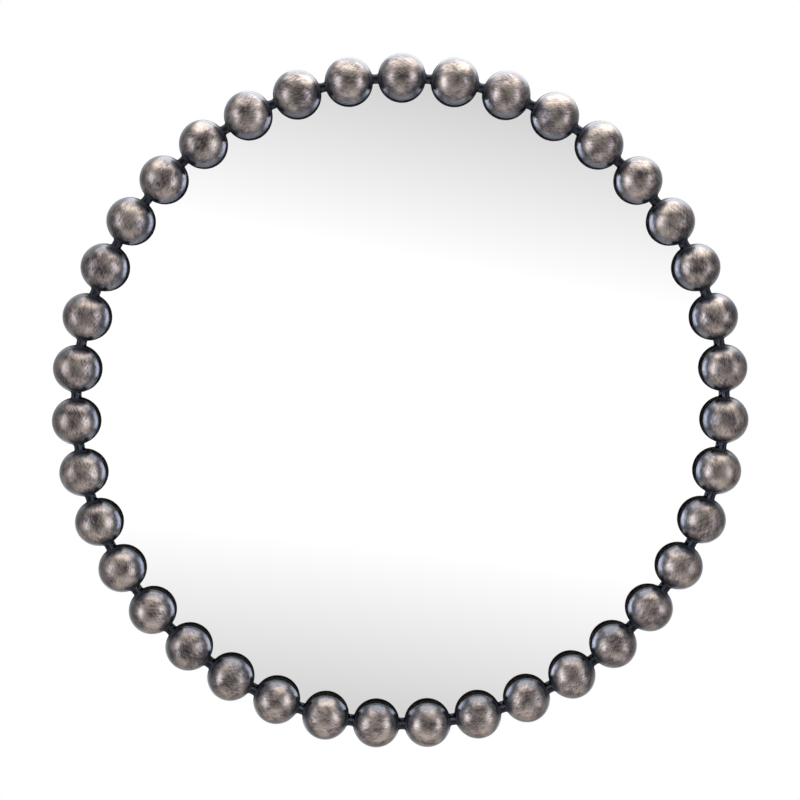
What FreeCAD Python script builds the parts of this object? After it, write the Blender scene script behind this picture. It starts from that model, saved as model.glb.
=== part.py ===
import FreeCAD, Part
import math
import os

# Round wall mirror: half-round beads on a rod ring, with the glass and its board in a flat hoop behind them.
# Millimetres. The wall is the plane y = 0, the front faces -Y, +Z is up and the ring's axis is the Y axis.

V = FreeCAD.Vector
ORIGIN = V(0, 0, 0)
ACROSS = V(1, 0, 0)
BACKWARD = V(0, 1, 0)

# Beads: pressed steel half-balls set over the rod, their rims just clear of the glass
bead_count = 39
bead_diameter = 50.0
bead_gap = 5.0
bead_wall = 1.2
rim_below_rod = 0.7

# Rod ring that carries the beads
rod_diameter = 8.0
rod_clearance = 0.15

# Hoop: flat bar on edge, flush with the outside of the rod
hoop_thickness = 2.0
hoop_weld_gap = 0.1

# Silvered glass, held on the board by strips of foam tape
glass_thickness = 4.0
glass_seat_gap = 0.3
glass_edge_clearance = 0.5
glass_arris = 0.5
tape_thickness = 1.0
tape_width = 19.0
tape_strip_count = 5
tape_pitch = 120.0
tape_end_margin = 40.0

# Backing board
board_thickness = 6.0
board_edge_clearance = 1.0
board_edge_round = 0.8

# Bent tabs that hold the board in the hoop
tab_count = 6
tab_first_angle = 30.0
tab_width = 16.0
tab_thickness = 1.5
tab_reach = 24.0
tab_bend_radius = 1.5
tab_corner_radius = 4.0
tab_seat_gap = 0.25
tab_wall_gap = 0.8
tab_screw_inset = 14.0

# Pan-head wood screws, all alike but for what they clamp
screw_shank_diameter = 3.0
screw_head_diameter = 7.0
screw_head_height = 2.2
screw_side_height = 1.1
screw_point_length = 1.6
screw_fit = 0.05
screw_cover = 1.5
screw_hole_over = 0.4

# Hangers: folded straps with swinging wire rings, spaced as two wall studs are
hanger_spacing = 406.4
hanger_height = 190.0
strap_width = 14.0
strap_thickness = 0.8
strap_length = 48.0
strap_neck_angle = 40.0
strap_corner_radius = 4.0
strap_first_hole = 25.0
strap_hole_pitch = 15.0
strap_hole_margin = 6.0
ring_wire = 3.0
ring_inner_width = 22.0
ring_leg = 4.0
ring_corner_radius = 3.0
ring_butt_gap = 0.3
ring_rest_gap = 0.3
pivot_clearance = 0.1
wall_gap = 1.7

# How near an edge must lie to a plane to be picked for rounding
pick_tolerance = 0.01

# Worked out from the sizes above: radii about the ring's axis
bead_radius = bead_diameter / 2
rod_radius = rod_diameter / 2
bead_step = 360.0 / bead_count
ring_radius = (bead_diameter + bead_gap) / 2 / math.sin(math.pi / bead_count)
hoop_outer_radius = ring_radius + rod_radius
hoop_inner_radius = hoop_outer_radius - hoop_thickness
glass_radius = hoop_inner_radius - glass_edge_clearance
board_radius = hoop_inner_radius - board_edge_clearance

# Worked out: the stack from the wall forward to the ring's plane
wire_radius = ring_wire / 2
loop_inner_radius = wire_radius + pivot_clearance
loop_outer_radius = loop_inner_radius + strap_thickness
strap_stack = 2 * strap_thickness
rear_recess = 2 * loop_outer_radius + wall_gap
board_back = -rear_recess
board_front = board_back - board_thickness
glass_back = board_front - tape_thickness
glass_front = glass_back - glass_thickness
bead_rim = glass_front - glass_seat_gap
ring_plane = bead_rim - rim_below_rod - rod_radius

# Worked out: the hoop's front edge meets the rod where the hoop's inner face passes under it
hoop_inner_offset = hoop_inner_radius - ring_radius
hoop_front = ring_plane + math.sqrt(rod_radius ** 2 - hoop_inner_offset ** 2) + hoop_weld_gap

# Worked out: how far screws go into the board, and where each hanger pivots
screw_bite = board_thickness - screw_cover
hanger_pivot_y = board_back + loop_outer_radius
ring_half_width = ring_inner_width / 2 + wire_radius
bow_reach = ring_leg + ring_half_width
ring_lift = strap_stack + wire_radius + ring_rest_gap - loop_outer_radius
ring_rest_tilt = math.degrees(math.asin(ring_lift / bow_reach))


def save(name, shape):
    shape.exportStep("parts/" + name + ".step")


def line(start, end):
    return Part.makeLine(start, end)


def arc(start, middle, end):
    return Part.Arc(start, middle, end).toShape()


def face(edges):
    return Part.Face(Part.Wire(edges))


def turned(shape, degrees):
    """A copy of a shape turned about the ring's axis, counter-clockwise seen from the front."""
    copy = shape.copy()
    copy.rotate(ORIGIN, BACKWARD, -degrees)
    return copy


def ring_band(inner, outer, front, back):
    """A flat round band about the ring's axis."""
    whole = Part.makeCylinder(outer, back - front, V(0, front, 0), BACKWARD)
    hole = Part.makeCylinder(inner, back - front, V(0, front, 0), BACKWARD)
    return whole.cut(hole)


def disc(radius, front, back):
    return Part.makeCylinder(radius, back - front, V(0, front, 0), BACKWARD)


def circular_edges(shape):
    return [e for e in shape.Edges if isinstance(e.Curve, Part.Circle)]


def bead_cup(radius):
    """A solid half-ball on the ring's axis, its flat side in the plane of the bead's rim."""
    pole = V(0, bead_rim - radius, 0)
    shoulder = V(radius * math.sin(math.pi / 4), bead_rim - radius * math.cos(math.pi / 4), 0)
    rim = V(radius, bead_rim, 0)
    centre = V(0, bead_rim, 0)
    edges = [arc(pole, shoulder, rim), line(rim, centre), line(centre, pole)]
    return face(edges).revolve(ORIGIN, BACKWARD, 360)


def rod_notch():
    """The room that the rod and the hoop take up in a bead: a U swept along the ring past both sides."""
    half_width = rod_radius + rod_clearance
    inner = ring_radius - half_width
    outer = ring_radius + half_width
    past_rim = bead_rim + bead_wall
    edges = [
        line(V(inner, past_rim, 0), V(inner, ring_plane, 0)),
        arc(V(inner, ring_plane, 0), V(ring_radius, ring_plane - half_width, 0), V(outer, ring_plane, 0)),
        line(V(outer, ring_plane, 0), V(outer, past_rim, 0)),
        line(V(outer, past_rim, 0), V(inner, past_rim, 0)),
    ]
    sweep = face(edges).revolve(ORIGIN, BACKWARD, bead_step)
    return turned(sweep, bead_step / 2)


def bead():
    """One pressed bead at three o'clock, hollow and notched on both sides."""
    cup = bead_cup(bead_radius).cut(bead_cup(bead_radius - bead_wall))
    cup.translate(V(ring_radius, 0, 0))
    return cup.cut(rod_notch())


def ring_rod():
    return Part.makeTorus(ring_radius, rod_radius, V(0, ring_plane, 0), BACKWARD)


def back_hoop():
    return ring_band(hoop_inner_radius, hoop_outer_radius, hoop_front, 0)


def mirror_glass():
    """The silvered disc, its edge ground to a small arris on both sides."""
    blank = disc(glass_radius, glass_front, glass_back)
    return blank.makeChamfer(glass_arris, circular_edges(blank))


def foam_tape():
    """Upright strips side by side, each as long as the glass allows where it lies."""
    strips = []
    for i in range(tape_strip_count):
        x = (i - (tape_strip_count - 1) / 2) * tape_pitch
        half_length = math.sqrt(glass_radius ** 2 - x ** 2) - tape_end_margin
        corner = V(x - tape_width / 2, glass_back, -half_length)
        strips.append(Part.makeBox(tape_width, tape_thickness, 2 * half_length, corner))
    return Part.makeCompound(strips)


def backing_board(screw_places):
    """The board, with its back edge eased and a pilot hole for every screw."""
    blank = disc(board_radius, board_front, board_back)
    back_edge = [e for e in circular_edges(blank) if abs(e.Curve.Center.y - board_back) < pick_tolerance]
    board = blank.makeFillet(board_edge_round, back_edge)
    hole_depth = screw_bite + screw_hole_over
    hole_radius = screw_shank_diameter / 2 + screw_fit
    holes = [
        Part.makeCylinder(hole_radius, hole_depth, V(p.x, board_back - hole_depth, p.z), BACKWARD)
        for p in screw_places
    ]
    return board.cut(Part.makeCompound(holes))


def screw(clamped):
    """A pan-head screw on the Y axis, seated on the back of what it clamps to the board."""
    shank = screw_shank_diameter / 2
    head = screw_head_diameter / 2
    seat = board_back + clamped
    tip = board_back - screw_bite
    side = seat + screw_side_height
    crown = seat + screw_head_height
    crown_radius = (head ** 2 + (crown - side) ** 2) / 2 / (crown - side)
    half_angle = math.asin(head / crown_radius) / 2
    shoulder = V(crown_radius * math.sin(half_angle), crown - crown_radius * (1 - math.cos(half_angle)), 0)
    edges = [
        line(V(0, tip, 0), V(shank, tip + screw_point_length, 0)),
        line(V(shank, tip + screw_point_length, 0), V(shank, seat, 0)),
        line(V(shank, seat, 0), V(head, seat, 0)),
        line(V(head, seat, 0), V(head, side, 0)),
        arc(V(head, side, 0), shoulder, V(0, crown, 0)),
        line(V(0, crown, 0), V(0, tip, 0)),
    ]
    return face(edges).revolve(ORIGIN, BACKWARD, 360)


def screws(places, clamped):
    one = screw(clamped)
    return Part.makeCompound([one.translated(V(p.x, 0, p.z)) for p in places])


def screw_holes(shape, places):
    """Cuts clearance holes for the screws right through a clamped piece."""
    radius = screw_shank_diameter / 2 + screw_fit
    holes = [Part.makeCylinder(radius, rear_recess, V(p.x, board_back, p.z), BACKWARD) for p in places]
    return shape.cut(Part.makeCompound(holes))


# The flat tab touches the round hoop with its two outer corners
tab_face_radius = math.sqrt(hoop_inner_radius ** 2 - (tab_width / 2) ** 2) - tab_seat_gap
tab_screw_radius = tab_face_radius - tab_screw_inset


def board_tab():
    """One bent tab at three o'clock: a foot on the board and a short leg up the inside of the hoop."""
    bend = tab_bend_radius + tab_thickness
    outside = tab_face_radius
    inside = outside - tab_thickness
    foot_end = outside - tab_reach
    leg_end = -tab_wall_gap
    foot_top = board_back + tab_thickness
    diagonal = 1 - math.sqrt(0.5)
    edges = [
        line(V(foot_end, board_back, 0), V(outside - bend, board_back, 0)),
        arc(
            V(outside - bend, board_back, 0),
            V(outside - bend * diagonal, board_back + bend * diagonal, 0),
            V(outside, board_back + bend, 0),
        ),
        line(V(outside, board_back + bend, 0), V(outside, leg_end, 0)),
        line(V(outside, leg_end, 0), V(inside, leg_end, 0)),
        line(V(inside, leg_end, 0), V(inside, board_back + bend, 0)),
        arc(
            V(inside, board_back + bend, 0),
            V(inside - tab_bend_radius * diagonal, foot_top + tab_bend_radius * diagonal, 0),
            V(inside - tab_bend_radius, foot_top, 0),
        ),
        line(V(inside - tab_bend_radius, foot_top, 0), V(foot_end, foot_top, 0)),
        line(V(foot_end, foot_top, 0), V(foot_end, board_back, 0)),
    ]
    tab = face(edges).extrude(V(0, 0, tab_width))
    tab.translate(V(0, 0, -tab_width / 2))
    foot_edges = [e for e in tab.Edges if e.BoundBox.XMax < foot_end + pick_tolerance]
    corners = [e for e in foot_edges if e.BoundBox.ZLength < pick_tolerance]
    tab = tab.makeFillet(tab_corner_radius, corners)
    return screw_holes(tab, [V(tab_screw_radius, 0, 0)])


def tab_places():
    angles = [tab_first_angle + i * 360.0 / tab_count for i in range(tab_count)]
    return angles, [
        V(tab_screw_radius * math.cos(math.radians(a)), 0, tab_screw_radius * math.sin(math.radians(a)))
        for a in angles
    ]


def hanger_screw_places(x):
    """As many screws as the strap has room for below its ring."""
    room = strap_length - strap_first_hole - strap_hole_margin
    count = 1 + math.floor(room / strap_hole_pitch)
    first = hanger_height - strap_first_hole
    return [V(x, 0, first - i * strap_hole_pitch) for i in range(count)]


def hanger_strap(x):
    """A strip folded round the ring's bar, both layers lying on the board below the loop."""
    slope = math.radians(strap_neck_angle)
    sine = math.sin(slope)
    cosine = math.cos(slope)

    def at(height, drop):
        return V(0, board_back + height, hanger_height - drop)

    def loop_half(radius):
        start = at(loop_outer_radius - radius, 0)
        middle = at(loop_outer_radius, -radius)
        end = at(loop_outer_radius + radius * cosine, radius * sine)
        return start, middle, end

    def neck_foot(radius, level):
        run = (loop_outer_radius + radius * cosine - level) / sine
        return at(level, radius * sine + run * cosine)

    outer_start, outer_middle, outer_end = loop_half(loop_outer_radius)
    outer_foot = neck_foot(loop_outer_radius, strap_stack)
    tail_top = at(strap_stack, strap_length)
    tail_bottom = at(0, strap_length)
    outline = face([
        arc(outer_start, outer_middle, outer_end),
        line(outer_end, outer_foot),
        line(outer_foot, tail_top),
        line(tail_top, tail_bottom),
        line(tail_bottom, outer_start),
    ])
    inner_start, inner_middle, inner_end = loop_half(loop_inner_radius)
    inner_foot = neck_foot(loop_inner_radius, strap_thickness)
    loop = face([
        arc(inner_start, inner_middle, inner_end),
        line(inner_end, inner_foot),
        line(inner_foot, inner_start),
    ])
    strap = outline.cut(loop).extrude(V(strap_width, 0, 0))
    strap.translate(V(x - strap_width / 2, 0, 0))
    tail = hanger_height - strap_length
    tail_edges = [e for e in strap.Edges if e.BoundBox.ZMax < tail + pick_tolerance]
    corners = [e for e in tail_edges if e.BoundBox.XLength < pick_tolerance]
    strap = strap.makeFillet(strap_corner_radius, corners)
    return screw_holes(strap, hanger_screw_places(x))


def hanger_ring(x):
    """A D of round wire hanging from its bar, tilted just clear of the strap below it."""
    w = ring_half_width
    r = ring_corner_radius
    diagonal = 1 - math.sqrt(0.5)
    butt = ring_butt_gap / 2

    def half(side):
        bar_end = V(side * (w - r), 0, 0)
        corner = V(side * (w - r * diagonal), 0, -r * diagonal)
        leg_top = V(side * w, 0, -r)
        leg_end = V(side * w, 0, -ring_leg)
        return [line(V(side * butt, 0, 0), bar_end), arc(bar_end, corner, leg_top), line(leg_top, leg_end)]

    bow = arc(V(w, 0, -ring_leg), V(0, 0, -ring_leg - w), V(-w, 0, -ring_leg))
    path = Part.Wire(Part.__sortEdges__(half(1) + [bow] + half(-1)))
    section = Part.Wire(Part.makeCircle(wire_radius, V(butt, 0, 0), ACROSS))
    ring = path.makePipeShell([section], True, False)
    ring.rotate(ORIGIN, ACROSS, ring_rest_tilt)
    ring.translate(V(x, hanger_pivot_y, hanger_height))
    return ring


def main():
    os.makedirs("parts", exist_ok=True)
    tab_angles, tab_screw_places = tab_places()
    hangers = {"left": -hanger_spacing / 2, "right": hanger_spacing / 2}
    strap_screw_places = [p for x in hangers.values() for p in hanger_screw_places(x)]

    one_bead = bead()
    for i in range(bead_count):
        save("bead_%02d" % (i + 1), turned(one_bead, 90 - i * bead_step))
    save("ring_rod", ring_rod())
    save("back_hoop", back_hoop())
    save("mirror_glass", mirror_glass())
    save("foam_tape", foam_tape())
    save("backing_board", backing_board(tab_screw_places + strap_screw_places))
    one_tab = board_tab()
    for i, angle in enumerate(tab_angles):
        save("board_tab_%d" % (i + 1), turned(one_tab, angle))
    save("tab_screws", screws(tab_screw_places, tab_thickness))
    for side, x in hangers.items():
        save("hanger_strap_" + side, hanger_strap(x))
        save("hanger_ring_" + side, hanger_ring(x))
    save("hanger_screws", screws(strap_screw_places, strap_stack))

    print("overall diameter %.1f, depth %.1f" % (2 * (ring_radius + bead_radius), bead_radius - bead_rim))
    print("ring radius %.2f, ring plane y %.2f, glass front y %.2f" % (ring_radius, ring_plane, glass_front))
    print("hanger pivot y %.2f z %.2f, ring tilt %.2f" % (hanger_pivot_y, hanger_height, ring_rest_tilt))


main()
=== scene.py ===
"""Looks and stage of a round wall mirror whose frame is a ring of hand-rubbed metal beads."""

import math
import random

import bmesh
import bpy
from bpy.props import FloatProperty, FloatVectorProperty, PointerProperty
from mathutils import Matrix, Vector, noise


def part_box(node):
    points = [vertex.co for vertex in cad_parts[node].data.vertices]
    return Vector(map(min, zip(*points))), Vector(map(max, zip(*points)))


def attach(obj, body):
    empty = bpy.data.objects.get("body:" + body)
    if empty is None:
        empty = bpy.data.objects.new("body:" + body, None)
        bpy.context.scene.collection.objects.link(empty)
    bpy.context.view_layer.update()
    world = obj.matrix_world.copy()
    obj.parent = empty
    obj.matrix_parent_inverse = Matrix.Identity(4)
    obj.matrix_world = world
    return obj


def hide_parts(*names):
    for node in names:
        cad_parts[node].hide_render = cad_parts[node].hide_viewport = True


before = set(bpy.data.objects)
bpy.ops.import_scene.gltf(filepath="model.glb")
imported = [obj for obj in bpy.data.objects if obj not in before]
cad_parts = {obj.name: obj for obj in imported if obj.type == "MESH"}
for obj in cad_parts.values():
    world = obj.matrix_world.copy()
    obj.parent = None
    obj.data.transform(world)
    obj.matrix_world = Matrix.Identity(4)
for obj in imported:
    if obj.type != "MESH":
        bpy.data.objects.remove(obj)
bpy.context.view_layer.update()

bl_info = {
    "name": "Beaded Round Mirror",
    "version": (1, 0, 0),
    "blender": (4, 5, 0),
    "location": "View3D > Sidebar > Mirror",
    "description": "Dresses a round wall mirror in hand-rubbed beads, silvered glass and zinc hangers",
    "category": "Object",
}

MM = 0.001
FRONT = Vector((0, -1, 0))
UP = Vector((0, 0, 1))
WHITE = (1, 1, 1, 1)
BLACK = (0, 0, 0, 1)
GLASS_IOR = 1.52
SHARP_ANGLE = math.radians(35)
PHOTO_SIDE = 800

# Read from the frame, in metres
bead_names = sorted(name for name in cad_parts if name.startswith("bead_"))
tab_names = sorted(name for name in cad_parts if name.startswith("board_tab_"))
bead_low, bead_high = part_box("bead_01")
rod_low, rod_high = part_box("ring_rod")
glass_low, glass_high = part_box("mirror_glass")
bead_step = math.tau / len(bead_names)
bead_rim = bead_high.y
ring_radius = (bead_high.z + bead_low.z) / 2
rod_plane = (rod_low.y + rod_high.y) / 2


def linear(hex_colour):
    """An sRGB hex colour as linear RGBA."""
    channels = [int(hex_colour[i:i + 2], 16) / 255 for i in (1, 3, 5)]
    return [c / 12.92 if c <= 0.04045 else ((c + 0.055) / 1.055) ** 2.4 for c in channels] + [1.0]


def length(name, description, default):
    """A property for a length in metres."""
    return FloatProperty(name=name, description=description, default=default, unit="LENGTH", precision=4)


def angle(name, description, degrees):
    """A property for an angle, given in degrees."""
    default = math.radians(degrees)
    return FloatProperty(name=name, description=description, default=default, subtype="ANGLE")


def plain(name, description, default):
    """A property for a number without a unit."""
    return FloatProperty(name=name, description=description, default=default)


def colour(name, description, hex_colour):
    """A property for a colour."""
    return FloatVectorProperty(
        name=name,
        description=description,
        default=linear(hex_colour),
        size=4,
        subtype="COLOR",
        min=0,
        max=1,
    )


class MirrorSizes(bpy.types.PropertyGroup):
    """Sizes of the dressed pieces."""

    bead_diameter: length("Bead diameter", "Across a bead, along the radius", bead_high.z - bead_low.z)
    bead_wall: length("Bead wall", "Thickness of the pressed metal", 1.2 * MM)
    bead_dent: length("Bead dent", "Deepest hand-made dent in a bead", 0.15 * MM)
    rod_diameter: length("Rod diameter", "Across the rod that carries the beads", rod_high.y - rod_low.y)
    rod_clearance: length("Rod clearance", "Room between the rod and a bead's notch", 0.15 * MM)
    weld_size: length("Weld size", "Height of the fillet where the rod enters a bead", 1.5 * MM)
    edge_ease: length("Eased edge", "Rounding of the beads' cut edges", 0.25 * MM)
    glass_arris: length("Glass arris", "Width of the ground edge on the glass", 0.5 * MM)
    silver_coat: length("Silver coat", "Silver and paint on the back of the glass", 0.05 * MM)
    screw_shank: length("Screw shank", "Across a screw's thread", 3.0 * MM)
    screw_head: length("Screw head", "Height of a screw's pan head", 2.2 * MM)
    screw_side: length("Screw side", "Height of the straight side of the head", 1.1 * MM)
    screw_point: length("Screw point", "Length of the tapered point", 1.6 * MM)
    thread_pitch: length("Thread pitch", "Rise of the thread in one turn", 1.3 * MM)
    thread_depth: length("Thread depth", "Height of the thread over the core", 0.4 * MM)
    recess_reach: length("Recess reach", "Length of one slot of the cross recess", 4.0 * MM)
    recess_width: length("Recess width", "Width of one slot of the cross recess", 0.9 * MM)
    recess_depth: length("Recess depth", "Depth of the cross recess", 1.5 * MM)


class MirrorColours(bpy.types.PropertyGroup):
    """Colours of the finishes."""

    rubbed: colour("Rubbed metal", "Bright metal where the hand has rubbed", "#CABDB3")
    tarnish: colour("Tarnish", "Dark metal left between the rubbing strokes", "#5A5257")
    gunmetal: colour("Gunmetal", "Smooth blue-grey metal round the sides of the beads", "#80848E")
    # On the beads this colour also paints the shade beside the rod, where the rod and the next bead shade
    # the metal
    blacking: colour("Blacking", "Coat left on at the rims of the beads", "#141111")
    oxide: colour("Oxide", "Brown-black bloom on the metal inside the beads", "#8C827B")
    blued: colour("Blued steel", "Dark blue-grey steel of the rod", "#41454F")
    enamel: colour("Enamel", "Black enamel of the hoop and tabs", "#1E1D1F")
    silver: colour("Silvering", "Silver behind the glass", "#F8F8F8")
    glass: colour("Glass", "Body of the clear float glass", "#FEFEFE")
    ground: colour("Ground glass", "Frosted edge of the glass", "#C9DAD2")
    board: colour("Board", "Black paint on the fibreboard", "#232221")
    fibre: colour("Fibre", "Brown fibre that shows where the paint is thin", "#5A4A3C")
    foam: colour("Foam", "Grey foam of the mounting tape", "#8D9092")
    zinc: colour("Zinc", "Bright zinc plate of the hangers and screws", "#B2B5B9")
    bloom: colour("Bloom", "Dull bloom on the zinc", "#737577")


class MirrorStage(bpy.types.PropertyGroup):
    """Camera and light."""

    camera_distance: length("Camera distance", "From the ring's middle to the camera", 1.539)
    camera_elevation: angle("Camera elevation", "Height of the view", 5.25)
    camera_azimuth: angle("Camera azimuth", "Turn of the view", -1.35)
    camera_lens: plain("Lens", "Focal length on a 36 mm sensor, in millimetres", 65.78)
    middle_x: plain("Middle x", "Where the ring's middle falls in the picture, in pixels", 401.9)
    middle_y: plain("Middle y", "Where the ring's middle falls in the picture, in pixels", 407.2)
    floor_drop: length("Floor drop", "From the ring's middle down to the floor", 1.15)
    floor_forward: length("Floor forward", "From the wall to the floor's middle", 0.85)
    floor_radius: length("Floor radius", "Of the round floor", 1.7)
    floor_colour: colour("Floor", "Pale floor", "#F0EBE7")
    overhead_colour: colour("Overhead light", "Colour of the large lights above", "#FFFCF9")
    side_colour: colour("Side light", "Colour of the soft boxes and of the light from below", "#EEF2FF")
    side_distance: length("Side light distance", "From the ring's middle to each soft box", 1.52)
    left_azimuth: angle("Left light azimuth", "Turn of the left soft box from the front", 52)
    right_azimuth: angle("Right light azimuth", "Turn of the right soft box from the front", 49)


def add_node(tree, kind, inputs=None, **settings):
    """Adds a node, sets its settings, sets or links its inputs, and gives its outputs."""
    node = tree.nodes.new(kind)
    for name, value in settings.items():
        setattr(node, name, value)
    for key, value in (inputs or {}).items():
        if isinstance(value, bpy.types.NodeSocket):
            tree.links.new(value, node.inputs[key])
        else:
            node.inputs[key].default_value = value
    return node.outputs


def new_material(name):
    """A material with its node tree and its Principled shader."""
    material = bpy.data.materials.new(name)
    material.use_nodes = True
    return material, material.node_tree, material.node_tree.nodes["Principled BSDF"]


def hand_rubbed_pewter(sizes, colours):
    # Pewter plate, blackened and rubbed back by hand: warm strokes on the dome, grey sides, a black rim,
    # and black painted shade beside the rod
    material, tree, shader = new_material("hand_rubbed_pewter_plate")
    # Real rubbing marks are finer: they are drawn this wide to show
    stroke_length = 7 * MM
    stroke_width = 0.85 * MM
    stroke_depth = 0.15 * MM
    patch_size = 14 * MM
    # How the strokes lean from the rod's direction in each lay, in radians, and how far they sway
    lay_leans = (-0.75, 0.15)
    patch_sway = 0.3
    lay_sway = 0.6
    # The rubbing fades and the blacking sets in at these angles from the front
    rub_full = math.cos(math.radians(30))
    rub_end = math.cos(math.radians(65))
    rim_start = math.cos(math.radians(74.5))
    rim_full = math.cos(math.radians(77))
    # Beside the rod the painted shade, where the rod and the next bead shade the metal, starts and is full
    # at these shares of the bead's radius
    shade_beside_rod_start = 0.85
    shade_beside_rod_full = 0.98
    middle_of_wall = sizes.bead_diameter / 2 - sizes.bead_wall / 2
    dull = 0.55

    place = add_node(tree, "ShaderNodeTexCoord")["Object"]
    turn = add_node(tree, "ShaderNodeAttribute", attribute_name="rub_turn")["Fac"]
    seed = add_node(tree, "ShaderNodeMath", {0: turn, 1: 57.0}, operation="MULTIPLY")[0]
    patches = add_node(
        tree,
        "ShaderNodeTexNoise",
        {"Vector": place, "W": seed, "Scale": 1 / patch_size, "Detail": 3.0},
        noise_dimensions="4D",
    )["Fac"]
    # Strokes cross in two lays about the rod's direction, askew on each bead, and sway with the patches
    sway = add_node(
        tree, "ShaderNodeMath", {0: patches, 1: patch_sway, 2: turn}, operation="MULTIPLY_ADD"
    )[0]
    stretch = (1 / stroke_length, 1 / stroke_length, 1 / stroke_width)
    lays = []
    for lean in lay_leans:
        askew = add_node(
            tree, "ShaderNodeMath", {0: sway, 1: lay_sway, 2: lean}, operation="MULTIPLY_ADD"
        )[0]
        spun = add_node(
            tree, "ShaderNodeVectorRotate", {"Vector": place, "Angle": askew}, rotation_type="Y_AXIS"
        )[0]
        along = add_node(tree, "ShaderNodeVectorMath", {0: spun, 1: stretch}, operation="MULTIPLY")[0]
        lay = add_node(
            tree,
            "ShaderNodeTexNoise",
            {"Vector": along, "W": seed, "Scale": 1.0, "Detail": 4.0, "Roughness": 0.65},
            noise_dimensions="4D",
        )["Fac"]
        lays.append(lay)
    strokes = add_node(tree, "ShaderNodeMix", {"Factor": 0.5, "A": lays[0], "B": lays[1]})["Result"]

    # The hand reached the front of the dome, unevenly, and its strokes fray the edge
    way = add_node(tree, "ShaderNodeVectorMath", {0: place}, operation="NORMALIZE")[0]
    split = add_node(tree, "ShaderNodeSeparateXYZ", {0: way})
    facing = add_node(tree, "ShaderNodeMath", {0: split["Y"], 1: -1.0}, operation="MULTIPLY")[0]
    rodward = add_node(tree, "ShaderNodeMath", {0: split["X"]}, operation="ABSOLUTE")[0]
    dome = add_node(
        tree, "ShaderNodeMapRange", {"Value": facing, "From Min": rub_end, "From Max": rub_full}
    )[0]
    uneven = add_node(tree, "ShaderNodeMath", {0: patches, 1: 1.0, 2: -0.48}, operation="MULTIPLY_ADD")[0]
    frayed = add_node(tree, "ShaderNodeMath", {0: strokes, 1: 0.8, 2: -0.4}, operation="MULTIPLY_ADD")[0]
    edge = add_node(tree, "ShaderNodeMath", {0: uneven, 1: frayed}, operation="ADD")[0]
    reach = add_node(tree, "ShaderNodeMath", {0: dome, 1: edge}, operation="ADD")[0]
    rub = add_node(tree, "ShaderNodeMapRange", {"Value": reach, "From Min": 0.1, "From Max": 0.8})[0]
    marks = add_node(tree, "ShaderNodeMath", {0: uneven, 1: 0.6, 2: strokes}, operation="MULTIPLY_ADD")[0]
    bright = add_node(tree, "ShaderNodeMapRange", {"Value": marks, "From Min": 0.39, "From Max": 0.61})[0]
    brushed = add_node(
        tree,
        "ShaderNodeMix",
        {"Factor": bright, "A": colours.tarnish, "B": colours.rubbed},
        data_type="RGBA",
    )["Result"]
    metal = add_node(
        tree, "ShaderNodeMix", {"Factor": rub, "A": colours.gunmetal, "B": brushed}, data_type="RGBA"
    )["Result"]

    # Black is left round the rim, black painted shade darkens the metal beside the rod where the rod and
    # the next bead shade it, and the inside is oxidised
    rim = add_node(
        tree, "ShaderNodeMapRange", {"Value": facing, "From Min": rim_start, "From Max": rim_full}
    )[0]
    # Painted shade: the metal beside the rod is darkened to black where the rod and the next bead shade it
    shade_beside_rod = add_node(
        tree,
        "ShaderNodeMapRange",
        {"Value": rodward, "From Min": shade_beside_rod_start, "From Max": shade_beside_rod_full},
        interpolation_type="SMOOTHSTEP",
    )[0]
    from_middle = add_node(tree, "ShaderNodeVectorMath", {0: place}, operation="LENGTH")["Value"]
    inside = add_node(
        tree, "ShaderNodeMath", {0: from_middle, 1: middle_of_wall}, operation="LESS_THAN"
    )[0]
    # The black mask holds the rim's black coat and the painted shade beside the rod
    black = add_node(tree, "ShaderNodeMath", {0: rim, 1: shade_beside_rod}, operation="MAXIMUM")[0]
    black = add_node(
        tree, "ShaderNodeMath", {0: black, 1: inside}, operation="SUBTRACT", use_clamp=True
    )[0]
    pressed = add_node(
        tree,
        "ShaderNodeMix",
        {"Factor": patches, "A": colours.tarnish, "B": colours.oxide},
        data_type="RGBA",
    )["Result"]
    base = add_node(
        tree, "ShaderNodeMix", {"Factor": inside, "A": metal, "B": pressed}, data_type="RGBA"
    )["Result"]
    base = add_node(
        tree, "ShaderNodeMix", {"Factor": black, "A": base, "B": colours.blacking}, data_type="RGBA"
    )["Result"]
    gloss = add_node(tree, "ShaderNodeMapRange", {"Value": rub, "To Min": 0.3, "To Max": 0.38})[0]
    rough = add_node(tree, "ShaderNodeMix", {"Factor": inside, "A": gloss, "B": dull})["Result"]
    rough = add_node(tree, "ShaderNodeMix", {"Factor": black, "A": rough, "B": dull})["Result"]
    metallic = add_node(tree, "ShaderNodeMath", {0: 1.0, 1: black}, operation="SUBTRACT")[0]

    # The shine spreads across the strokes, as on brushed metal
    outward = add_node(tree, "ShaderNodeNewGeometry")["Normal"]
    rodwise = add_node(
        tree,
        "ShaderNodeVectorTransform",
        {0: (1, 0, 0)},
        vector_type="VECTOR",
        convert_from="OBJECT",
        convert_to="WORLD",
    )[0]
    across = add_node(tree, "ShaderNodeVectorMath", {0: outward, 1: rodwise}, operation="CROSS_PRODUCT")[0]
    scratch = add_node(
        tree, "ShaderNodeBump", {"Height": strokes, "Strength": 0.36, "Distance": stroke_depth}
    )["Normal"]
    tree.links.new(base, shader.inputs["Base Color"])
    tree.links.new(rough, shader.inputs["Roughness"])
    tree.links.new(scratch, shader.inputs["Normal"])
    tree.links.new(metallic, shader.inputs["Metallic"])
    tree.links.new(across, shader.inputs["Tangent"])
    shader.inputs["Anisotropic"].default_value = 0.2
    # Only the blacking and the painted shade beside the rod take this: they are duller than paint
    shader.inputs["Specular IOR Level"].default_value = 0.1
    return material


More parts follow.
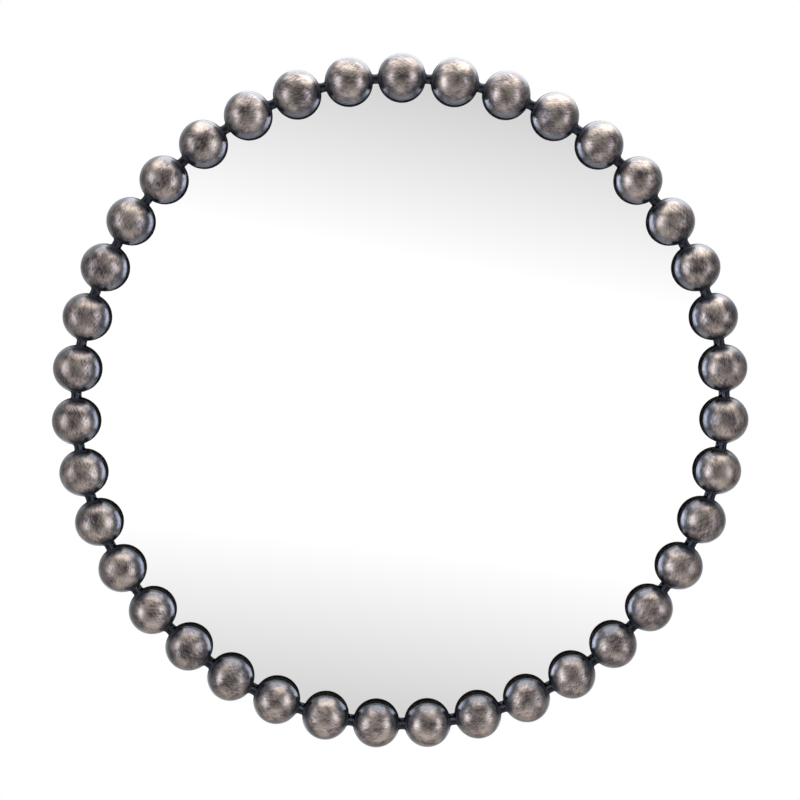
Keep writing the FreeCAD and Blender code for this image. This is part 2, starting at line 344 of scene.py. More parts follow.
def blued_steel(colours):
    # Round steel bar, blued: a clouded dark blue-grey with a fine tooth and a satin shine
    material, tree, shader = new_material("blued_drawn_steel")
    cloud_size = 7 * MM
    tooth_size = 1.2 * MM
    tooth_depth = 0.1 * MM
    place = add_node(tree, "ShaderNodeTexCoord")["Object"]
    cloud = add_node(
        tree, "ShaderNodeTexNoise", {"Vector": place, "Scale": 1 / cloud_size, "Detail": 4.0}
    )["Fac"]
    tooth = add_node(
        tree, "ShaderNodeTexNoise", {"Vector": place, "Scale": 1 / tooth_size, "Detail": 2.0}
    )["Fac"]
    worn = add_node(
        tree, "ShaderNodeMapRange", {"Value": cloud, "From Min": 0.35, "From Max": 0.7, "To Max": 0.6}
    )[0]
    base = add_node(
        tree,
        "ShaderNodeMix",
        {"Factor": worn, "A": colours.blued, "B": colours.blacking},
        data_type="RGBA",
    )["Result"]
    rough = add_node(tree, "ShaderNodeMapRange", {"Value": tooth, "To Min": 0.22, "To Max": 0.42})[0]
    bump = add_node(
        tree, "ShaderNodeBump", {"Height": tooth, "Strength": 0.15, "Distance": tooth_depth}
    )["Normal"]
    tree.links.new(base, shader.inputs["Base Color"])
    tree.links.new(rough, shader.inputs["Roughness"])
    tree.links.new(bump, shader.inputs["Normal"])
    shader.inputs["Metallic"].default_value = 1.0
    return material


def black_enamel(colours):
    # Black enamel sprayed on steel: satin, with an orange-peel ripple that breaks the highlights
    material, tree, shader = new_material("sprayed_black_enamel")
    peel_size = 2.2 * MM
    peel_depth = 0.15 * MM
    dust_size = 35 * MM
    place = add_node(tree, "ShaderNodeTexCoord")["Object"]
    peel = add_node(
        tree, "ShaderNodeTexNoise", {"Vector": place, "Scale": 1 / peel_size, "Detail": 2.0}
    )["Fac"]
    dust = add_node(
        tree, "ShaderNodeTexNoise", {"Vector": place, "Scale": 1 / dust_size, "Detail": 4.0}
    )["Fac"]
    rough = add_node(
        tree,
        "ShaderNodeMapRange",
        {"Value": dust, "From Min": 0.3, "From Max": 0.7, "To Min": 0.28, "To Max": 0.45},
    )[0]
    grey = add_node(
        tree, "ShaderNodeMapRange", {"Value": dust, "From Min": 0.35, "From Max": 0.75, "To Max": 0.1}
    )[0]
    base = add_node(
        tree, "ShaderNodeMix", {"Factor": grey, "A": colours.enamel, "B": colours.zinc}, data_type="RGBA"
    )["Result"]
    ripple = add_node(
        tree, "ShaderNodeBump", {"Height": peel, "Strength": 0.45, "Distance": peel_depth}
    )["Normal"]
    tree.links.new(base, shader.inputs["Base Color"])
    tree.links.new(rough, shader.inputs["Roughness"])
    tree.links.new(ripple, shader.inputs["Normal"])
    return material


def float_glass(colours):
    # Clear float glass: polished flat, with the faintest tint of its body
    material, _, shader = new_material("clear_float_glass")
    shader.inputs["Base Color"].default_value = colours.glass
    shader.inputs["Transmission Weight"].default_value = 1.0
    shader.inputs["Roughness"].default_value = 0.0
    shader.inputs["IOR"].default_value = GLASS_IOR
    # The silver's reflection drowns that of the front face, which is left to show only at a slant
    shader.inputs["Specular Tint"].default_value = BLACK
    return material


def silvering(colours):
    # Silver laid on the back of the glass by wet process: a sharp, bright reflection
    material, _, shader = new_material("wet_silvered_back")
    shader.inputs["Base Color"].default_value = colours.silver
    shader.inputs["Metallic"].default_value = 1.0
    shader.inputs["Roughness"].default_value = 0.0
    return material


def ground_edge(colours):
    # Glass edge ground on a belt: frosted and pale green, with the grit's marks
    material, tree, shader = new_material("belt_ground_glass_edge")
    grit_size = 0.4 * MM
    place = add_node(tree, "ShaderNodeTexCoord")["Object"]
    grit = add_node(tree, "ShaderNodeTexNoise", {"Vector": place, "Scale": 1 / grit_size})["Fac"]
    frost = add_node(tree, "ShaderNodeMapRange", {"Value": grit, "To Min": 0.45, "To Max": 0.75})[0]
    tree.links.new(frost, shader.inputs["Roughness"])
    shader.inputs["Base Color"].default_value = colours.ground
    shader.inputs["IOR"].default_value = GLASS_IOR
    shader.inputs["Transmission Weight"].default_value = 0.4
    return material


def painted_fibreboard(colours):
    # Fibreboard rolled with thin black paint: dull, with specks of brown fibre
    material, tree, shader = new_material("black_painted_fibreboard")
    fibre_size = 1.6 * MM
    nap_depth = 0.2 * MM
    cloud_size = 14 * MM
    place = add_node(tree, "ShaderNodeTexCoord")["Object"]
    fibre = add_node(
        tree,
        "ShaderNodeTexNoise",
        {"Vector": place, "Scale": 1 / fibre_size, "Detail": 5.0, "Roughness": 0.7},
    )["Fac"]
    cloud = add_node(
        tree, "ShaderNodeTexNoise", {"Vector": place, "Scale": 1 / cloud_size, "Detail": 8.0}
    )["Fac"]
    thin = add_node(tree, "ShaderNodeMath", {0: fibre, 1: cloud}, operation="MULTIPLY")[0]
    bare = add_node(
        tree, "ShaderNodeMapRange", {"Value": thin, "From Min": 0.26, "From Max": 0.42, "To Max": 0.3}
    )[0]
    base = add_node(
        tree, "ShaderNodeMix", {"Factor": bare, "A": colours.board, "B": colours.fibre}, data_type="RGBA"
    )["Result"]
    rough = add_node(tree, "ShaderNodeMapRange", {"Value": fibre, "To Min": 0.55, "To Max": 0.85})[0]
    nap = add_node(
        tree, "ShaderNodeBump", {"Height": fibre, "Strength": 0.35, "Distance": nap_depth}
    )["Normal"]
    tree.links.new(base, shader.inputs["Base Color"])
    tree.links.new(rough, shader.inputs["Roughness"])
    tree.links.new(nap, shader.inputs["Normal"])
    return material


def closed_cell_foam(colours):
    # Closed-cell foam tape: matt, with open cells at the cut edges
    material, tree, shader = new_material("closed_cell_foam_tape")
    cell_size = 0.8 * MM
    cell_depth = 0.2 * MM
    place = add_node(tree, "ShaderNodeTexCoord")["Object"]
    cells = add_node(tree, "ShaderNodeTexVoronoi", {"Vector": place, "Scale": 1 / cell_size})["Distance"]
    shade = add_node(
        tree, "ShaderNodeMix", {"Factor": cells, "A": colours.foam, "B": colours.enamel}, data_type="RGBA"
    )["Result"]
    pits = add_node(
        tree, "ShaderNodeBump", {"Height": cells, "Strength": 0.4, "Distance": cell_depth}
    )["Normal"]
    tree.links.new(shade, shader.inputs["Base Color"])
    tree.links.new(pits, shader.inputs["Normal"])
    shader.inputs["Roughness"].default_value = 0.9
    return material


def zinc_plate(name, colours, grain):
    # Zinc electroplated on rolled or drawn steel: pale grey with fine forming lines and a cloudy bloom
    material, tree, shader = new_material(name)
    cloud_size = 6 * MM
    line_depth = 0.05 * MM
    stretch = [1 / size for size in grain]
    place = add_node(tree, "ShaderNodeTexCoord")["Object"]
    lines = add_node(tree, "ShaderNodeVectorMath", {0: place, 1: stretch}, operation="MULTIPLY")[0]
    formed = add_node(tree, "ShaderNodeTexNoise", {"Vector": lines, "Scale": 1.0, "Detail": 3.0})["Fac"]
    cloud = add_node(
        tree, "ShaderNodeTexNoise", {"Vector": place, "Scale": 1 / cloud_size, "Detail": 4.0}
    )["Fac"]
    dull = add_node(
        tree, "ShaderNodeMapRange", {"Value": cloud, "From Min": 0.35, "From Max": 0.7, "To Max": 0.6}
    )[0]
    base = add_node(
        tree, "ShaderNodeMix", {"Factor": dull, "A": colours.zinc, "B": colours.bloom}, data_type="RGBA"
    )["Result"]
    rough = add_node(tree, "ShaderNodeMapRange", {"Value": formed, "To Min": 0.28, "To Max": 0.55})[0]
    scored = add_node(
        tree, "ShaderNodeBump", {"Height": formed, "Strength": 0.2, "Distance": line_depth}
    )["Normal"]
    tree.links.new(base, shader.inputs["Base Color"])
    tree.links.new(rough, shader.inputs["Roughness"])
    tree.links.new(scored, shader.inputs["Normal"])
    shader.inputs["Metallic"].default_value = 1.0
    return material


def paint(node, finish):
    """Gives a CAD node its finish."""
    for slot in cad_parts[node].material_slots:
        slot.material = finish


def steps(start, end, count):
    """Evenly spaced values from start to end, both included."""
    return [start + (end - start) * i / (count - 1) for i in range(count)]


def round_angles(count):
    """Evenly spaced angles of a whole turn."""
    return [math.tau * i / count for i in range(count)]


def arc_points(radius, start, end, count):
    """Points of an arc about the origin, as (radius, depth), with the angle taken from the front."""
    return [(radius * math.sin(a), -radius * math.cos(a)) for a in steps(start, end, count)]


def bridge(mesh, rows, closed):
    """Joins rows of vertices by faces, and gives the faces. The ends of a closed row meet."""
    made = []
    for this, following in zip(rows, rows[1:]):
        for i in range(len(this) if closed else len(this) - 1):
            j = (i + 1) % len(this)
            made.append(mesh.faces.new((this[i], this[j], following[j], following[i])))
    return made


def revolve(mesh, outline, angles, axis_z=0.0):
    """Turns an outline of (radius, depth) points about a line along Y. Gives the rows of vertices."""
    rows = []
    for a in angles:
        across = math.sin(a)
        rise = math.cos(a)
        spots = [Vector((radius * across, depth, radius * rise + axis_z)) for radius, depth in outline]
        rows.append([mesh.verts.new(spot) for spot in spots])
    return rows


def close_up(mesh):
    """Joins points that fell together, and turns all faces outward."""
    bmesh.ops.remove_doubles(mesh, verts=mesh.verts, dist=1e-7)
    bmesh.ops.recalc_face_normals(mesh, faces=mesh.faces)


def to_object(name, mesh):
    """Links a finished bmesh as an object."""
    data = bpy.data.meshes.new(name)
    mesh.to_mesh(data)
    mesh.free()
    piece = bpy.data.objects.new(name, data)
    bpy.context.scene.collection.objects.link(piece)
    return piece


def settle(piece):
    """Turns a piece's modifiers into its mesh."""
    graph = bpy.context.evaluated_depsgraph_get()
    data = bpy.data.meshes.new_from_object(piece.evaluated_get(graph))
    piece.modifiers.clear()
    old = piece.data
    piece.data = data
    bpy.data.meshes.remove(old)


def carve(piece, cutter):
    """Cuts one object out of another, and removes the cutter."""
    cut = piece.modifiers.new("cut", "BOOLEAN")
    cut.object = cutter
    cut.operation = "DIFFERENCE"
    cut.solver = "EXACT"
    settle(piece)
    bpy.data.objects.remove(cutter)


def smooth(piece):
    """Shades a piece smooth but for its sharp edges."""
    piece.data.shade_smooth()
    piece.data.set_sharp_from_angle(angle=SHARP_ANGLE)


def ease(piece, width):
    """Rounds a piece's sharp edges a little, and shades the rest smooth."""
    bevel = piece.modifiers.new("eased", "BEVEL")
    bevel.width = width
    bevel.segments = 2
    bevel.limit_method = "ANGLE"
    bevel.angle_limit = SHARP_ANGLE
    settle(piece)
    smooth(piece)


def dress(piece, finish, node):
    """Gives a piece its finish, and lets it stand for a CAD node of the frame."""
    piece.data.materials.append(finish)
    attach(piece, "frame")
    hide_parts(node)


def rod_notch(sizes):
    """The room that the rod takes up in a bead: a U swept along the ring past both sides."""
    half = sizes.rod_diameter / 2 + sizes.rod_clearance
    depth = rod_plane - bead_rim
    bend = steps(0, math.pi, 17)
    outline = [(ring_radius + half * math.cos(a), depth - half * math.sin(a)) for a in bend]
    outline += [(ring_radius - half, sizes.bead_wall), (ring_radius + half, sizes.bead_wall)]
    mesh = bmesh.new()
    rows = revolve(mesh, outline, steps(-bead_step / 2, bead_step / 2, 9), axis_z=-ring_radius)
    bridge(mesh, rows, closed=True)
    mesh.faces.new(rows[0])
    mesh.faces.new(rows[-1])
    close_up(mesh)
    return to_object("rod_notch", mesh)


def bead_shell(sizes):
    """One pressed bead about its ball's centre, dome to the front, hollow and notched for the rod."""
    outer = sizes.bead_diameter / 2
    inner = outer - sizes.bead_wall
    outline = arc_points(outer, 0, math.pi / 2, 33) + arc_points(inner, math.pi / 2, 0, 17)
    mesh = bmesh.new()
    rows = revolve(mesh, outline, round_angles(96))
    bridge(mesh, rows + rows[:1], closed=False)
    close_up(mesh)
    shell = to_object("bead_shell", mesh)
    carve(shell, rod_notch(sizes))
    ease(shell, sizes.edge_ease)
    return shell


def add_weld(mesh, sizes, side, seed):
    """A closed, slightly uneven fillet of weld round the rod where it enters a bead."""
    rod = sizes.rod_diameter / 2
    bead = sizes.bead_diameter / 2
    middle = rod_plane - bead_rim
    sink = 0.3 * MM
    lump_share = 0.12
    lump_scale = 3
    # Each point of the fillet's section: its height over the rod and its distance from the bead
    curve = [(1 - math.cos(s), 1 - math.sin(s)) for s in steps(0, math.pi / 2, 7)]
    section = [(sizes.weld_size * up, sizes.weld_size * away) for up, away in curve]
    section += [(sizes.weld_size, -sink), (0, -sink)]
    rows = []
    for up, away in section:
        row = []
        for a in round_angles(32):
            spot = Vector((lump_scale * math.cos(a), lump_scale * math.sin(a), seed))
            lump = 1 + lump_share * noise.noise(spot)
            level = rod + up * lump
            depth = min(middle - level * math.cos(a), 0)
            rise = level * math.sin(a)
            reach = math.sqrt(bead ** 2 - depth ** 2 - rise ** 2) + away * lump
            slope = side * reach / ring_radius
            out = ring_radius + rise
            row.append(mesh.verts.new((out * math.sin(slope), depth, out * math.cos(slope) - ring_radius)))
        rows.append(row)
    made = bridge(mesh, rows + rows[:1], closed=True)
    bmesh.ops.recalc_face_normals(mesh, faces=made)
    for face in made:
        face.smooth = True


def dented(shell, sizes, seed):
    """A copy of the bead's mesh with shallow hand-made dents and its two welds."""
    dent_width = 11 * MM
    mesh = bmesh.new()
    mesh.from_mesh(shell.data)
    # Far enough apart that no two beads are dented alike
    shift = Vector((seed * 7.3, seed * 1.9, seed * 4.1))
    for vert in mesh.verts:
        dent = sizes.bead_dent * (1 + noise.noise(vert.co / dent_width + shift)) / 2
        vert.co *= 1 - 2 * dent / sizes.bead_diameter
    for side in (-1, 1):
        add_weld(mesh, sizes, side, seed + side / 2)
    return mesh


class MIRROR_OT_beads(bpy.types.Operator):
    """Build the ring of hand-rubbed beads"""

    bl_idname = "mirror.beads"
    bl_label = "Beads"

    def execute(self, context):
        sizes = context.scene.mirror_sizes
        finish = hand_rubbed_pewter(sizes, context.scene.mirror_colours)
        shell = bead_shell(sizes)
        to_rim = Matrix.Translation((0, bead_rim, 0))
        to_ring = Matrix.Translation((0, 0, ring_radius))
        draw = random.Random(39)
        for i, name in enumerate(bead_names):
            piece = to_object(name.replace("bead", "rubbed_bead"), dented(shell, sizes, i + 1))
            piece.data.set_sharp_from_angle(angle=SHARP_ANGLE)
            turn = piece.data.attributes.new("rub_turn", "FLOAT", "POINT")
            turn.data.foreach_set("value", [draw.random()] * len(piece.data.vertices))
            spin = Matrix.Rotation(i * bead_step, 4, "Y")
            piece.matrix_world = to_rim @ spin @ to_ring
            dress(piece, finish, name)
        bpy.data.objects.remove(shell)
        return {"FINISHED"}


class MIRROR_OT_ring(bpy.types.Operator):
    """Finish the rod ring and the hoop behind it"""

    bl_idname = "mirror.ring"
    bl_label = "Rod and hoop"

    def execute(self, context):
        colours = context.scene.mirror_colours
        paint("ring_rod", blued_steel(colours))
        paint("back_hoop", black_enamel(colours))
        return {"FINISHED"}


class MIRROR_OT_glass(bpy.types.Operator):
    """Build the silvered glass"""

    bl_idname = "mirror.glass"
    bl_label = "Silvered glass"

    def execute(self, context):
        sizes = context.scene.mirror_sizes
        colours = context.scene.mirror_colours
        radius = glass_high.x
        arris = sizes.glass_arris
        front = glass_low.y
        back = glass_high.y - sizes.silver_coat
        flat = 0.99
        outline = [
            (0, front),
            (radius - arris, front),
            (radius, front + arris),
            (radius, back - arris),
            (radius - arris, back),
            (0, back),
        ]
        mesh = bmesh.new()
        rows = revolve(mesh, outline, round_angles(256))
        bridge(mesh, rows + rows[:1], closed=False)
        close_up(mesh)
        # The front stays clear glass, the back takes the silver, and the edge is ground
        for face in mesh.faces:
            if face.normal.y > flat:
                face.material_index = 1
            elif face.normal.y > -flat:
                face.material_index = 2
        piece = to_object("silvered_glass", mesh)
        dress(piece, float_glass(colours), "mirror_glass")
        piece.data.materials.append(silvering(colours))
        piece.data.materials.append(ground_edge(colours))
        return {"FINISHED"}


class MIRROR_OT_back(bpy.types.Operator):
    """Finish the board, its tape and its tabs"""

    bl_idname = "mirror.back"
    bl_label = "Board, tape and tabs"

    def execute(self, context):
        colours = context.scene.mirror_colours
        paint("backing_board", painted_fibreboard(colours))
        paint("foam_tape", closed_cell_foam(colours))
        enamel = black_enamel(colours)
        for name in tab_names:
            paint(name, enamel)
        return {"FINISHED"}


class MIRROR_OT_hangers(bpy.types.Operator):
    """Finish the hanger straps and their rings"""

    bl_idname = "mirror.hangers"
    bl_label = "Hangers"

    def execute(self, context):
        colours = context.scene.mirror_colours
        line_width = 0.4 * MM
        line_length = 12 * MM
        strap = zinc_plate("zinc_plated_rolled_strip", colours, (line_width, line_width, line_length))
        wire = zinc_plate("zinc_plated_drawn_wire", colours, (line_length, line_width, line_width))
        for side in ("left", "right"):
            paint("hanger_strap_" + side, strap)
            paint("hanger_ring_" + side, wire)
        return {"FINISHED"}


def solids_of(node):
    """The boxes of the separate solids in a CAD node, as (lowest, highest) corners."""
    mesh = bmesh.new()
    mesh.from_mesh(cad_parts[node].data)
    bmesh.ops.remove_doubles(mesh, verts=mesh.verts, dist=1e-6)
    left = set(mesh.verts)
    boxes = []
    while left:
        found = [left.pop()]
        spots = []
        while found:
            vert = found.pop()
            spots.append(vert.co.copy())
            for edge in vert.link_edges:
                other = edge.other_vert(vert)
                if other in left:
                    left.remove(other)
                    found.append(other)
        low = Vector([min(spot[k] for spot in spots) for k in range(3)])
        high = Vector([max(spot[k] for spot in spots) for k in range(3)])
        boxes.append((low, high))
    mesh.free()
    return sorted(boxes, key=lambda box: (round(box[0].x, 4), round(box[0].z, 4)))


def recess_slot(sizes, crown, turn):
    """One tapered slot of a screw's cross recess, from above the crown down."""
    above = 0.2 * MM
    mouth_share = 1.1
    foot_share = 0.45
    corners = ((-1, -1), (1, -1), (1, 1), (-1, 1))
    mesh = bmesh.new()
    rows = []
    for depth, share in ((crown + above, mouth_share), (crown - sizes.recess_depth, foot_share)):
        x = sizes.recess_reach / 2 * share
        z = sizes.recess_width / 2 * (0.5 + share / 2)
        rows.append([mesh.verts.new((side_x * x, depth, side_z * z)) for side_x, side_z in corners])
    bridge(mesh, rows, closed=True)
    mesh.faces.new(rows[0])
    mesh.faces.new(rows[1])
    bmesh.ops.rotate(mesh, verts=mesh.verts, matrix=Matrix.Rotation(turn, 3, "Y"))
    close_up(mesh)
    return to_object("recess_slot", mesh)


def pan_head_screw(name, sizes, tall, head):
    """A screw along Y from its point to its crown, with a thread and a cross recess."""
    seat = tall - sizes.screw_head
    side = seat + sizes.screw_side
    rise = tall - side
    crown_radius = (head ** 2 + rise ** 2) / 2 / rise
    reach = math.asin(head / crown_radius)
    # Half the width of the thread's ridge, as a share of its pitch
    ridge_half = 0.3
    around = round_angles(32)
    mesh = bmesh.new()
    rows = []
    for depth in steps(0, seat, 61):
        taper = min(1, depth / sizes.screw_point)
        row = []
        for a in around:
            phase = (depth / sizes.thread_pitch - a / math.tau) % 1
            ridge = max(0, 1 - abs(phase - 0.5) / ridge_half)
            radius = taper * (sizes.screw_shank / 2 - sizes.thread_depth * (1 - ridge))
            row.append(mesh.verts.new((radius * math.sin(a), depth, radius * math.cos(a))))
        rows.append(row)
    outline = [(head, seat), (head, side)]
    for a in steps(reach, 0, 9)[1:]:
        outline.append((crown_radius * math.sin(a), tall - crown_radius * (1 - math.cos(a))))
    for radius, depth in outline:
        rows.append([mesh.verts.new((radius * math.sin(a), depth, radius * math.cos(a))) for a in around])
    bridge(mesh, rows, closed=True)
    close_up(mesh)
    piece = to_object(name, mesh)
    for turn in (0, math.pi / 2):
        carve(piece, recess_slot(sizes, tall, turn))
    smooth(piece)
    return piece


class MIRROR_OT_screws(bpy.types.Operator):
    """Build the pan-head screws of the tabs and the hangers"""

    bl_idname = "mirror.screws"
    bl_label = "Screws"

    def execute(self, context):
        sizes = context.scene.mirror_sizes
        grain = (0.6 * MM,) * 3
        finish = zinc_plate("zinc_plated_screw_steel", context.scene.mirror_colours, grain)
        draw = random.Random(10)
        for node in ("tab_screws", "hanger_screws"):
            for i, (low, high) in enumerate(solids_of(node)):
                name = "%s_%d" % (node[:-1], i + 1)
                piece = pan_head_screw(name, sizes, high.y - low.y, (high.x - low.x) / 2)
                point = Vector(((low.x + high.x) / 2, low.y, (low.z + high.z) / 2))
                spin = Matrix.Rotation(draw.uniform(0, math.pi), 4, "Y")
                piece.matrix_world = Matrix.Translation(point) @ spin
                dress(piece, finish, node)
        return {"FINISHED"}


def mirror_ray(tree):
    """A socket that is 1 for what the eye sees straight in the mirror, and 0 for the rest."""
    path = add_node(tree, "ShaderNodeLightPath")
    once = add_node(tree, "ShaderNodeMath", {0: path["Glossy Depth"], 1: 1.5}, operation="LESS_THAN")[0]
    sharp = add_node(
        tree,
        "ShaderNodeMath",
        {0: path["Is Singular Ray"], 1: path["Transmission Depth"]},
        operation="MAXIMUM",
    )[0]
    return add_node(tree, "ShaderNodeMath", {0: once, 1: sharp}, operation="MULTIPLY", use_clamp=True)[0]


def add_lamp(name, place, aim, size, radiance, tint, spread=math.pi):
    """A rectangular soft light whose face has the given radiance, before a grid narrows its spread."""
    data = bpy.data.lights.new(name, "AREA")
    data.shape = "RECTANGLE"
    data.size, data.size_y = size
    data.energy = radiance * math.pi * data.size * data.size_y
    data.color = tint[:3]
    data.spread = spread
    lamp = bpy.data.objects.new(name, data)
    lamp.location = place
    lamp.rotation_euler = (Vector(aim) - Vector(place)).to_track_quat("-Z", "Y").to_euler()
    lamp.visible_camera = False
    # The glass doesn't show the lamp's own face
    data.use_nodes = True
    tree = data.node_tree
    shown = add_node(tree, "ShaderNodeMath", {0: 1.0, 1: mirror_ray(tree)}, operation="SUBTRACT")[0]
    tree.links.new(shown, tree.nodes["Emission"].inputs["Strength"])
    bpy.context.scene.collection.objects.link(lamp)


def studio_world():
    """White behind the object, a white card for the mirror to show, and a dimmer room for rough metal."""
    card_white = 1.1
    card_top = 0.505
    card_foot = 0.48
    top_tilt = (0.19, 0, 1)
    foot_tilt = (0.11, 0, 1)
    front_level = 0.22
    rear_level = 0.75
    ceiling_gain = 1.7
    ground_gain = 0.8
    diffuse_level = 0.2
    world = bpy.data.worlds.new("white_studio")
    world.use_nodes = True
    tree = world.node_tree
    path = add_node(tree, "ShaderNodeLightPath")
    way = add_node(tree, "ShaderNodeTexCoord")["Generated"]
    split = add_node(tree, "ShaderNodeSeparateXYZ", {0: way})

    # The card is white across its middle and greyer above and below, along edges tilted a little
    upper = add_node(
        tree, "ShaderNodeVectorMath", {0: way, 1: top_tilt}, operation="DOT_PRODUCT"
    )["Value"]
    lower = add_node(
        tree, "ShaderNodeVectorMath", {0: way, 1: foot_tilt}, operation="DOT_PRODUCT"
    )["Value"]
    above = add_node(
        tree,
        "ShaderNodeMapRange",
        {"Value": upper, "From Min": 0.01, "From Max": 0.186, "To Min": card_white, "To Max": card_top},
    )[0]
    below = add_node(
        tree,
        "ShaderNodeMapRange",
        {
            "Value": lower,
            "From Min": -0.354,
            "From Max": -0.179,
            "To Min": card_foot,
            "To Max": card_white,
        },
    )[0]
    card = add_node(tree, "ShaderNodeMath", {0: above, 1: below}, operation="MINIMUM")[0]

    # Rough metal sees a dim room in front, a paler backdrop that leans in below, and a bright ceiling
    lean = add_node(
        tree,
        "ShaderNodeMapRange",
        {"Value": split["Z"], "From Min": -0.6, "From Max": 0.0, "To Min": 0.4, "To Max": 0.0},
    )[0]
    leaning = add_node(tree, "ShaderNodeMath", {0: split["Y"], 1: lean}, operation="ADD")[0]
    backdrop = add_node(
        tree,
        "ShaderNodeMapRange",
        {"Value": leaning, "From Min": 0.3, "From Max": 1.0, "To Min": front_level, "To Max": rear_level},
        interpolation_type="SMOOTHSTEP",
    )[0]
    ceiling = add_node(
        tree,
        "ShaderNodeMapRange",
        {"Value": split["Z"], "From Min": 0.1, "From Max": 0.6, "To Min": 1.0, "To Max": ceiling_gain},
        interpolation_type="SMOOTHSTEP",
    )[0]
    ground = add_node(
        tree,
        "ShaderNodeMapRange",
        {"Value": split["Z"], "From Min": -0.6, "From Max": -0.1, "To Min": ground_gain, "To Max": 1.0},
    )[0]
    room = add_node(tree, "ShaderNodeMath", {0: backdrop, 1: ceiling}, operation="MULTIPLY")[0]
    room = add_node(tree, "ShaderNodeMath", {0: room, 1: ground}, operation="MULTIPLY")[0]

    # Each kind of ray takes its own level, the camera's last
    level = room
    for share, other in (
        (path["Is Diffuse Ray"], diffuse_level),
        (mirror_ray(tree), card),
        (path["Is Camera Ray"], 1.0),
    ):
        level = add_node(tree, "ShaderNodeMix", {"Factor": share, "A": level, "B": other})["Result"]
    tree.links.new(level, tree.nodes["Background"].inputs["Strength"])
    tree.nodes["Background"].inputs["Color"].default_value = WHITE
    return world


def pale_floor(stage):
    # Matt paint on a plain pale floor, which fades out to the white around it
    material, tree, shader = new_material("matt_painted_floor")
    fade_end = stage.floor_radius
    fade_start = fade_end * 0.3
    place = add_node(tree, "ShaderNodeTexCoord")["Object"]
    out = add_node(tree, "ShaderNodeVectorMath", {0: place}, operation="LENGTH")["Value"]
    fade = add_node(
        tree,
        "ShaderNodeMapRange",
        {"Value": out, "From Min": fade_start, "From Max": fade_end, "To Min": 1.0, "To Max": 0.0},
        interpolation_type="SMOOTHSTEP",
    )[0]
    tree.links.new(fade, shader.inputs["Alpha"])
    shader.inputs["Base Color"].default_value = stage.floor_colour
    shader.inputs["Roughness"].default_value = 0.9
    return material


def add_floor(stage):
    """The round pale floor under the mirror."""
    mesh = bmesh.new()
    bmesh.ops.create_circle(mesh, cap_ends=True, segments=128, radius=stage.floor_radius)
    floor = to_object("floor", mesh)
    floor.location = (0, -stage.floor_forward, -stage.floor_drop)
    floor.data.materials.append(pale_floor(stage))


def add_lamps(stage, middle):
    """Light from above, from both sides and from below, and a little from behind."""
    add_lamp(
        "overhead",
        place=(0.15, -0.2, 1.4),
        aim=(0.15, -0.15, 0),
        size=(2.2, 1.3),
        radiance=1.95,
        tint=stage.overhead_colour,
    )
    # The soft boxes have grids and face across the mirror, so they light the far beads more than the near
    grid_spread = math.radians(90)
    across = 0.9
    for side, turn, radiance in ((-1, -stage.left_azimuth, 1.3), (1, stage.right_azimuth, 1.1)):
        add_lamp(
            "softbox",
            place=middle + Matrix.Rotation(turn, 3, "Z") @ FRONT * stage.side_distance,
            aim=(-across * side, -0.55, 0),
            size=(0.75, 1.6),
            radiance=radiance,
            tint=stage.side_colour,
            spread=grid_spread,
        )
    over_floor = 0.01
    card = Vector((0, -0.95, over_floor - stage.floor_drop))
    add_lamp(
        "floor_card",
        place=card,
        aim=card + UP,
        size=(2.4, 1.5),
        radiance=0.3,
        tint=stage.side_colour,
    )
    add_lamp(
        "rear_overhead",
        place=(0.35, 0.75, 1.35),
        aim=(0, 0, 0.3),
        size=(2.0, 1.5),
        radiance=1.6,
        tint=stage.overhead_colour,
    )
    add_lamp(
        "rear_fill",
        place=(0, 1.6, -0.85),
        aim=middle,
        size=(2.6, 1.0),
        radiance=0.9,
        tint=stage.side_colour,
    )


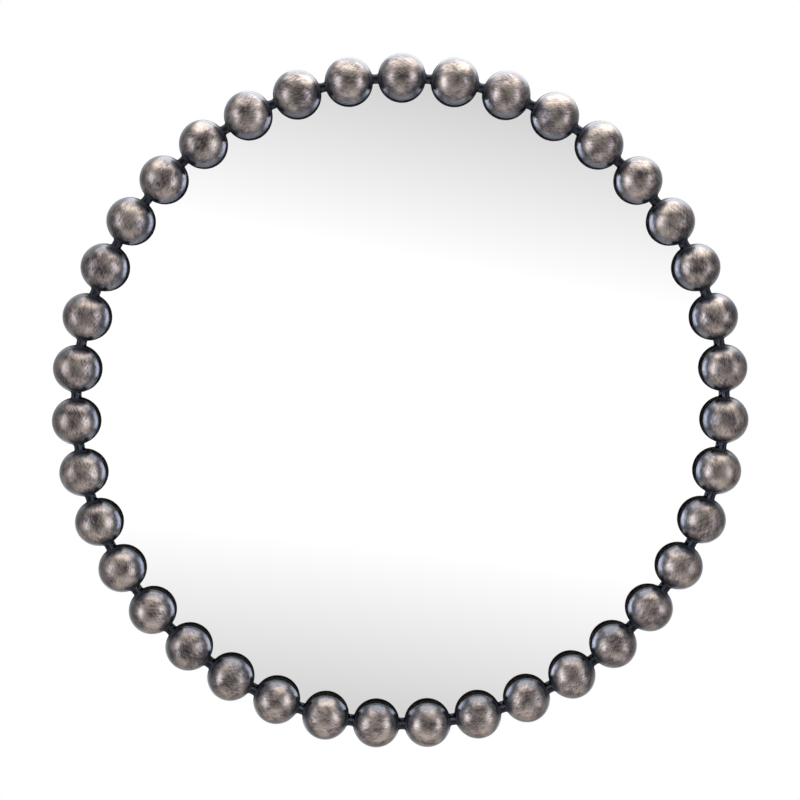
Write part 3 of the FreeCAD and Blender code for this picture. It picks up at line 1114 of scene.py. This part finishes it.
def add_camera(stage, middle):
    """A camera at the photograph's angle, aimed so that the ring's middle falls where it does there."""
    data = bpy.data.cameras.new("photo_camera")
    data.lens = stage.camera_lens
    camera = bpy.data.objects.new("photo_camera", data)
    turn = Matrix.Rotation(stage.camera_azimuth, 3, "Z")
    tip = Matrix.Rotation(-stage.camera_elevation, 3, "X")
    away = turn @ tip @ FRONT
    camera.location = middle + away * stage.camera_distance
    look = (-away).to_track_quat("-Z", "Y")
    per_pixel = stage.camera_distance * data.sensor_width / data.lens / PHOTO_SIDE
    right = look @ Vector((1, 0, 0))
    up = look @ Vector((0, 1, 0))
    off_x = (stage.middle_x - PHOTO_SIDE / 2) * per_pixel
    off_y = (stage.middle_y - PHOTO_SIDE / 2) * per_pixel
    aim = middle - right * off_x + up * off_y
    camera.rotation_euler = (aim - camera.location).to_track_quat("-Z", "Y").to_euler()
    bpy.context.scene.collection.objects.link(camera)
    return camera


class MIRROR_OT_stage(bpy.types.Operator):
    """Set the floor, the lights, the white surroundings and the camera"""

    bl_idname = "mirror.stage"
    bl_label = "Stage"

    def execute(self, context):
        scene = context.scene
        stage = scene.mirror_stage
        middle = Vector((0, bead_rim, 0))
        add_floor(stage)
        add_lamps(stage, middle)
        scene.world = studio_world()
        scene.view_settings.view_transform = "Standard"
        scene.camera = add_camera(stage, middle)
        return {"FINISHED"}


class MIRROR_PT_panel(bpy.types.Panel):
    """Lists the pieces and their settings"""

    bl_label = "Beaded Round Mirror"
    bl_idname = "MIRROR_PT_panel"
    bl_space_type = "VIEW_3D"
    bl_region_type = "UI"
    bl_category = "Mirror"

    def draw(self, context):
        for operator in operators:
            self.layout.operator(operator.bl_idname)
        for name in groups:
            group = getattr(context.scene, name)
            box = self.layout.box()
            for setting in group.__annotations__:
                box.prop(group, setting)


groups = {"mirror_sizes": MirrorSizes, "mirror_colours": MirrorColours, "mirror_stage": MirrorStage}
operators = (
    MIRROR_OT_beads,
    MIRROR_OT_ring,
    MIRROR_OT_glass,
    MIRROR_OT_back,
    MIRROR_OT_hangers,
    MIRROR_OT_screws,
    MIRROR_OT_stage,
)
classes = tuple(groups.values()) + operators + (MIRROR_PT_panel,)


def register():
    for cls in classes:
        bpy.utils.register_class(cls)
    for name, group in groups.items():
        setattr(bpy.types.Scene, name, PointerProperty(type=group))


def unregister():
    for name in groups:
        delattr(bpy.types.Scene, name)
    for cls in reversed(classes):
        bpy.utils.unregister_class(cls)


def main():
    register()
    bpy.ops.mirror.beads()
    bpy.ops.mirror.ring()
    bpy.ops.mirror.glass()
    bpy.ops.mirror.back()
    bpy.ops.mirror.hangers()
    bpy.ops.mirror.screws()
    bpy.ops.mirror.stage()


if __name__ == "__main__":
    main()
